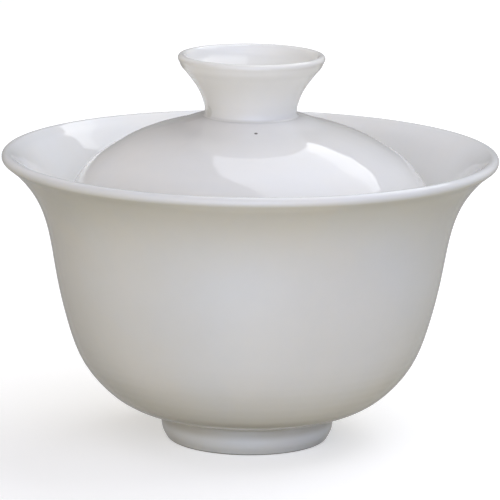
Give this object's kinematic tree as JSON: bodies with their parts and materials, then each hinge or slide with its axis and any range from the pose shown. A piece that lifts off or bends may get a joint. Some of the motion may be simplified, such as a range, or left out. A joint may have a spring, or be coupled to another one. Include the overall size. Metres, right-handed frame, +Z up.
{
  "type": "gaiwan",
  "caption": "White glazed porcelain lidded tea bowl with a flared lip and low foot ring, and a loose domed lid with a hollow trumpet knob.",
  "frame": {"origin": "centre of the foot ring's bare contact face, on the surface the bowl stands on", "axes": "+Z up along the axis of revolution; the object is round, so X and Y are free"},
  "size_m": [0.092, 0.092, 0.0724],
  "materials": {
    "white_glaze": "gloss"
  },
  "bodies": {
    "bowl": {"bowl_body": "white_glaze", "foot_ring": "white_glaze"},
    "lid": {"lid_dome": "white_glaze", "lid_knob": "white_glaze"}
  },
  "joints": [
    {"name": "lid_lift", "type": "slide", "parent": "bowl", "child": "lid", "axis": [0, 0, 1], "range_m": [0, 0.06]}
  ]
}
